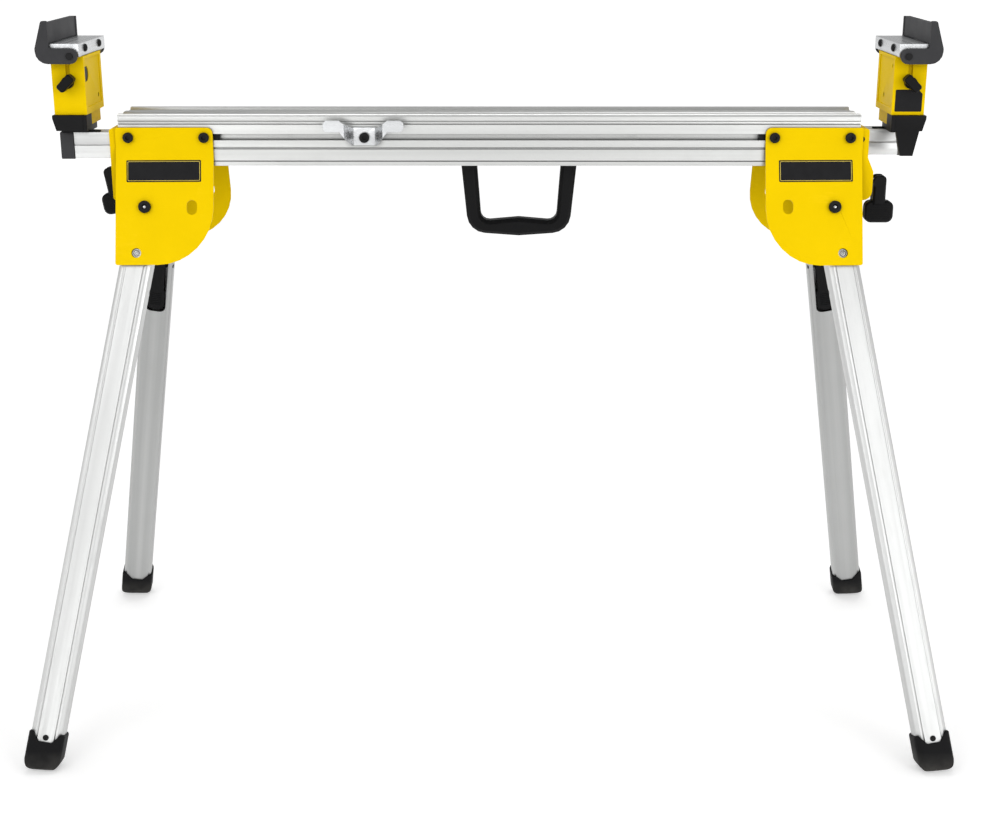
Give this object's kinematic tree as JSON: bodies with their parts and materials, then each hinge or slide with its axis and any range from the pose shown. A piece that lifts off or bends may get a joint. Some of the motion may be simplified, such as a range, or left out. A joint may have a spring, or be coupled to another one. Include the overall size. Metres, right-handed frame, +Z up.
{
  "type": "mitre saw stand",
  "caption": "Folding work stand with an extruded beam, splayed folding legs, sliding arms with height-adjustable supports, flip-over stops and a carrying handle",
  "frame": {"origin": "on the floor below the middle of the beam, at the centre of the plan outline", "axes": "+X along the beam to the right, +Z up, the front with the head knobs faces -Y"},
  "size_m": [1.2488, 0.6256, 0.969],
  "materials": {
    "beam_aluminium": "extruded and anodised, fine lines along the beam, satin",
    "leg_aluminium": "extruded and anodised, satin",
    "tray_metal": "brushed across the tray",
    "bright_strip": "bright, lightly scratched",
    "yellow_paint": "powder coat, faint orange peel, semi-gloss",
    "black_plastic": "fine moulded grain, satin",
    "grey_plastic": "fine moulded grain, satin",
    "foot_rubber": "moulded, dull",
    "plain_steel": "bright zinc plate, turned and brushed",
    "black_screw": "black oxide, oiled, semi-gloss"
  },
  "bodies": {
    "frame": {"beam": "beam_aluminium", "handle": "black_plastic", "handle_screw_left": "black_screw", "handle_screw_right": "black_screw", "cleat": "bright_strip", "cleat_screw": "black_screw", "front_left_plate": "yellow_paint", "front_left_clamp_bar": "black_screw", "front_left_pivot_bolt": "black_screw", "front_right_plate": "yellow_paint", "front_right_clamp_bar": "black_screw", "front_right_pivot_bolt": "black_screw", "rear_left_plate": "yellow_paint", "rear_left_clamp_bar": "black_screw", "rear_left_pivot_bolt": "black_screw", "rear_right_plate": "yellow_paint", "rear_right_clamp_bar": "black_screw", "rear_right_pivot_bolt": "black_screw", "left_end_cap": "yellow_paint", "left_clamp_shoe": "plain_steel", "right_end_cap": "yellow_paint", "right_clamp_shoe": "plain_steel"},
    "front_left_leg": {"front_left_leg": "leg_aluminium", "front_left_foot": "foot_rubber"},
    "front_left_lock_lever": {"front_left_lock_lever": "black_plastic"},
    "front_left_lock_pin": {"front_left_lock_pin": "plain_steel"},
    "front_right_leg": {"front_right_leg": "leg_aluminium", "front_right_foot": "foot_rubber"},
    "front_right_lock_lever": {"front_right_lock_lever": "black_plastic"},
    "front_right_lock_pin": {"front_right_lock_pin": "plain_steel"},
    "rear_left_leg": {"rear_left_leg": "leg_aluminium", "rear_left_foot": "foot_rubber"},
    "rear_left_lock_lever": {"rear_left_lock_lever": "black_plastic"},
    "rear_left_lock_pin": {"rear_left_lock_pin": "plain_steel"},
    "rear_right_leg": {"rear_right_leg": "leg_aluminium", "rear_right_foot": "foot_rubber"},
    "rear_right_lock_lever": {"rear_right_lock_lever": "black_plastic"},
    "rear_right_lock_pin": {"rear_right_lock_pin": "plain_steel"},
    "left_arm": {"left_arm": "leg_aluminium", "left_arm_cap": "grey_plastic", "left_base": "black_plastic", "left_post": "yellow_paint"},
    "left_head": {"left_sleeve": "yellow_paint", "left_tray": "tray_metal", "left_stop_rod": "black_screw"},
    "left_knob": {"left_knob": "black_plastic"},
    "left_stop": {"left_stop": "grey_plastic"},
    "left_clamp": {"left_clamp_bolt": "plain_steel"},
    "left_clamp_lever": {"left_clamp_lever": "black_plastic"},
    "right_arm": {"right_arm": "leg_aluminium", "right_arm_cap": "grey_plastic", "right_base": "black_plastic", "right_post": "yellow_paint"},
    "right_head": {"right_sleeve": "yellow_paint", "right_tray": "tray_metal", "right_stop_rod": "black_screw"},
    "right_knob": {"right_knob": "black_plastic"},
    "right_stop": {"right_stop": "grey_plastic"},
    "right_clamp": {"right_clamp_bolt": "plain_steel"},
    "right_clamp_lever": {"right_clamp_lever": "black_plastic"}
  },
  "joints": [
    {"name": "front_left_fold", "type": "hinge", "parent": "frame", "child": "front_left_leg", "pos_m": [-0.465, -0.05599, 0.71816], "axis": [0.0343, -0.9489, 0.3137], "range_deg": [0, 100.3]},
    {"name": "front_left_lock_press", "type": "hinge", "parent": "front_left_leg", "child": "front_left_lock_lever", "pos_m": [-0.48498, -0.08206, 0.6128], "axis": [-0.9833, 0.0241, 0.1805], "range_deg": [0, 4.88]},
    {"name": "front_left_lock_draw", "type": "slide", "parent": "front_left_leg", "child": "front_left_lock_pin", "axis": [-0.0343, 0.9489, -0.3137], "range_m": [0, 0.00401]},
    {"name": "front_right_fold", "type": "hinge", "parent": "frame", "child": "front_right_leg", "pos_m": [0.465, -0.05599, 0.71816], "axis": [-0.0343, 0.9449, -0.3255], "range_deg": [0, 100.3]},
    {"name": "front_right_lock_press", "type": "hinge", "parent": "front_right_leg", "child": "front_right_lock_lever", "pos_m": [0.48436, -0.0821, 0.61269], "axis": [-0.9833, -0.0902, -0.1581], "range_deg": [0, 4.88]},
    {"name": "front_right_lock_draw", "type": "slide", "parent": "front_right_leg", "child": "front_right_lock_pin", "axis": [-0.0343, 0.9449, -0.3255], "range_m": [0, 0.00401]},
    {"name": "rear_left_fold", "type": "hinge", "parent": "frame", "child": "rear_left_leg", "pos_m": [-0.465, 0.05599, 0.71816], "axis": [0.0343, -0.9449, -0.3255], "range_deg": [0, 100.3]},
    {"name": "rear_left_lock_press", "type": "hinge", "parent": "rear_left_leg", "child": "rear_left_lock_lever", "pos_m": [-0.48436, 0.0821, 0.61269], "axis": [0.9833, 0.0902, -0.1581], "range_deg": [0, 4.88]},
    {"name": "rear_left_lock_draw", "type": "slide", "parent": "rear_left_leg", "child": "rear_left_lock_pin", "axis": [0.0343, -0.9449, -0.3255], "range_m": [0, 0.00401]},
    {"name": "rear_right_fold", "type": "hinge", "parent": "frame", "child": "rear_right_leg", "pos_m": [0.465, 0.05599, 0.71816], "axis": [-0.0343, 0.9489, 0.3137], "range_deg": [0, 100.3]},
    {"name": "rear_right_lock_press", "type": "hinge", "parent": "rear_right_leg", "child": "rear_right_lock_lever", "pos_m": [0.48498, 0.08206, 0.6128], "axis": [0.9833, -0.0241, 0.1805], "range_deg": [0, 4.88]},
    {"name": "rear_right_lock_draw", "type": "slide", "parent": "rear_right_leg", "child": "rear_right_lock_pin", "axis": [0.0343, -0.9489, -0.3137], "range_m": [0, 0.00401]},
    {"name": "left_arm_slide", "type": "slide", "parent": "frame", "child": "left_arm", "axis": [-1, 0, 0], "range_m": [0, 0.645]},
    {"name": "left_clamp_draw", "type": "slide", "parent": "frame", "child": "left_clamp", "axis": [1, 0, 0], "range_m": [0, 0.0023]},
    {"name": "left_clamp_turn", "type": "hinge", "parent": "left_clamp", "child": "left_clamp_lever", "pos_m": [-0.5325, 0.033, 0.754], "axis": [0, 1, 0], "range_deg": [0, 100]},
    {"name": "left_head_lift", "type": "slide", "parent": "left_arm", "child": "left_head", "axis": [0, 0, 1], "range_m": [0, 0.04]},
    {"name": "left_knob_turn", "type": "hinge", "parent": "left_head", "child": "left_knob", "pos_m": [-0.559, -0.065, 0.8885], "axis": [0, 1, 0], "range_deg": [0, 360]},
    {"name": "left_stop_flip", "type": "hinge", "parent": "left_head", "child": "left_stop", "pos_m": [-0.5506, 0, 0.9237], "axis": [0, 1, 0], "range_deg": [0, 180]},
    {"name": "right_arm_slide", "type": "slide", "parent": "frame", "child": "right_arm", "axis": [1, 0, 0], "range_m": [0, 0.645]},
    {"name": "right_clamp_draw", "type": "slide", "parent": "frame", "child": "right_clamp", "axis": [-1, 0, 0], "range_m": [0, 0.0023]},
    {"name": "right_clamp_turn", "type": "hinge", "parent": "right_clamp", "child": "right_clamp_lever", "pos_m": [0.5325, -0.033, 0.754], "axis": [0, -1, 0], "range_deg": [0, 100]},
    {"name": "right_head_lift", "type": "slide", "parent": "right_arm", "child": "right_head", "axis": [0, 0, 1], "range_m": [0, 0.04]},
    {"name": "right_knob_turn", "type": "hinge", "parent": "right_head", "child": "right_knob", "pos_m": [0.559, -0.065, 0.8885], "axis": [0, 1, 0], "range_deg": [0, 360]},
    {"name": "right_stop_flip", "type": "hinge", "parent": "right_head", "child": "right_stop", "pos_m": [0.5506, 0, 0.9237], "axis": [0, -1, 0], "range_deg": [0, 180]}
  ],
  "couplings": [
    {"joint": "front_left_lock_draw", "follows": "front_left_lock_press", "m_per_rad": 0.047},
    {"joint": "front_right_lock_draw", "follows": "front_right_lock_press", "m_per_rad": 0.047},
    {"joint": "rear_left_lock_draw", "follows": "rear_left_lock_press", "m_per_rad": 0.047},
    {"joint": "rear_right_lock_draw", "follows": "rear_right_lock_press", "m_per_rad": 0.047},
    {"joint": "left_clamp_draw", "follows": "left_clamp_turn", "m_per_rad": 0.0012732},
    {"joint": "right_clamp_draw", "follows": "right_clamp_turn", "m_per_rad": 0.0012732}
  ]
}
